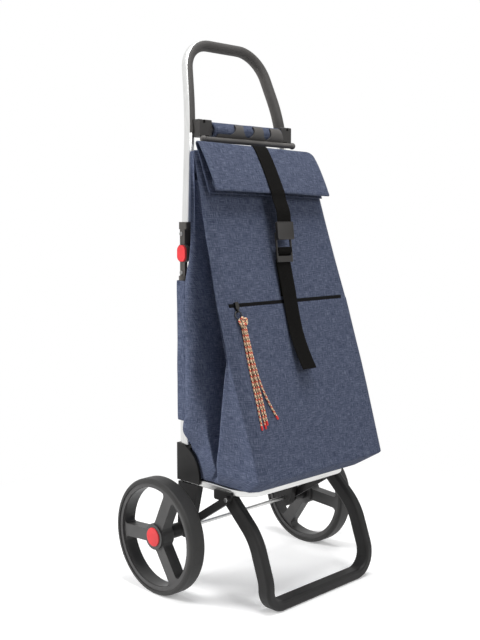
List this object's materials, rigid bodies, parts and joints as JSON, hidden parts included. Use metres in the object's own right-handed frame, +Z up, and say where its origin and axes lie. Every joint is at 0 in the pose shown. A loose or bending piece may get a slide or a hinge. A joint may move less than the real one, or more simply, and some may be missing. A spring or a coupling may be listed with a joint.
{
  "type": "shopping trolley",
  "caption": "Shopping trolley with large wheels: a pleated fabric bag with a strap-closed fold-over flap on a folding tube frame with an arched handle and a front stand.",
  "frame": {"origin": "middle of the floor space the trolley stands on, between the wheels' backs and the stand's front", "axes": "+Z up, +X along the axle to the viewer's right when facing the bag's front, the bag's front faces -Y"},
  "size_m": [0.472, 0.352, 1.09],
  "materials": {
    "aluminium_tube": "satin anodised",
    "steel_pin": "plain",
    "black_plastic": "fine grained",
    "buckle_plastic": "smooth satin",
    "rim_plastic": "fine grained",
    "tyre_rubber": "smooth rubber",
    "red_plastic": "satin gloss",
    "grip_rubber": "soft matt",
    "denim_canvas": "melange canvas weave",
    "board_plastic": "plain",
    "webbing": "ribbed webbing",
    "zip_tape": "woven tape with teeth",
    "dark_metal": "dark plated",
    "pull_cord": "braided, flecked",
    "cord_tip": "sealed"
  },
  "bodies": {
    "base_frame": {"base_rail": "aluminium_tube", "corner_plate_left": "black_plastic", "corner_plate_right": "black_plastic", "axle_bracket_left": "black_plastic", "axle_bracket_right": "black_plastic", "axle_rod": "aluminium_tube", "axle_spacer_left": "black_plastic", "axle_spacer_right": "black_plastic", "front_stand": "black_plastic", "stand_strut_left": "black_plastic", "stand_strut_right": "black_plastic", "strut_rivets": "steel_pin", "lower_tube_left": "aluminium_tube", "lower_tube_right": "aluminium_tube", "hinge_lower_left": "black_plastic", "hinge_lower_right": "black_plastic", "hinge_pin_left": "steel_pin", "hinge_pin_right": "steel_pin", "hinge_rivets_lower": "steel_pin", "bag_body": "denim_canvas", "base_board": "board_plastic", "tube_sleeve_left": "denim_canvas", "tube_sleeve_right": "denim_canvas", "buckle_loop": "buckle_plastic", "strap_tail": "webbing", "strap_anchor": "webbing", "zip_tape": "zip_tape"},
    "wheel_left": {"tyre_left": "tyre_rubber", "wheel_rim_left": "rim_plastic"},
    "wheel_right": {"tyre_right": "tyre_rubber", "wheel_rim_right": "rim_plastic"},
    "hub_release_left": {"hub_button_left": "red_plastic"},
    "hub_release_right": {"hub_button_right": "red_plastic"},
    "hinge_release_left": {"hinge_button_left": "red_plastic"},
    "hinge_release_right": {"hinge_button_right": "red_plastic"},
    "handle_frame": {"handle_tube": "aluminium_tube", "handle_grip": "grip_rubber", "hinge_upper_left": "black_plastic", "hinge_upper_right": "black_plastic", "hinge_rivets_upper": "steel_pin", "hanger_block_left": "black_plastic", "hanger_block_right": "black_plastic", "hanger_bar": "aluminium_tube", "hanger_loop": "denim_canvas", "hanger_cover": "black_plastic"},
    "flap": {"bag_flap": "denim_canvas", "strap_upper": "webbing", "buckle_hook": "buckle_plastic"},
    "zip_runner": {"zip_slider": "dark_metal"},
    "puller": {"puller_ring": "dark_metal", "puller_knot": "pull_cord", "pull_cord_1": "pull_cord", "pull_cord_2": "pull_cord", "pull_cord_3": "pull_cord", "pull_cord_4": "pull_cord", "cord_tip_1": "cord_tip", "cord_tip_2": "cord_tip", "cord_tip_3": "cord_tip", "cord_tip_4": "cord_tip"}
  },
  "joints": [
    {"name": "wheel_spin_left", "type": "hinge", "parent": "base_frame", "child": "wheel_left", "pos_m": [-0.218, 0.061, 0.115], "axis": [1, 0, 0], "continuous": true},
    {"name": "hub_release_push_left", "type": "slide", "parent": "wheel_left", "child": "hub_release_left", "axis": [1, 0, 0], "range_m": [0, 0.003], "stiffness_N_per_m": 900},
    {"name": "hinge_release_push_left", "type": "slide", "parent": "base_frame", "child": "hinge_release_left", "axis": [1, 0, 0], "range_m": [0, 0.0022], "stiffness_N_per_m": 1500},
    {"name": "wheel_spin_right", "type": "hinge", "parent": "base_frame", "child": "wheel_right", "pos_m": [0.218, 0.061, 0.115], "axis": [1, 0, 0], "continuous": true},
    {"name": "hub_release_push_right", "type": "slide", "parent": "wheel_right", "child": "hub_release_right", "axis": [-1, 0, 0], "range_m": [0, 0.003], "stiffness_N_per_m": 900},
    {"name": "hinge_release_push_right", "type": "slide", "parent": "base_frame", "child": "hinge_release_right", "axis": [-1, 0, 0], "range_m": [0, 0.0022], "stiffness_N_per_m": 1500},
    {"name": "handle_fold", "type": "hinge", "parent": "base_frame", "child": "handle_frame", "pos_m": [0, 0.066, 0.665], "axis": [-1, 0, 0], "range_deg": [0, 135]},
    {"name": "flap_open", "type": "hinge", "parent": "base_frame", "child": "flap", "pos_m": [0, 0.00547, 0.87], "axis": [-1, 0, 0], "range_deg": [0, 110]},
    {"name": "zip_slide", "type": "slide", "parent": "base_frame", "child": "zip_runner", "axis": [1, 0, 0], "range_m": [0, 0.06]},
    {"name": "puller_swing", "type": "hinge", "parent": "zip_runner", "child": "puller", "pos_m": [-0.146, -0.08431, 0.56165], "axis": [-1, 0, 0], "range_deg": [0, 80]}
  ]
}
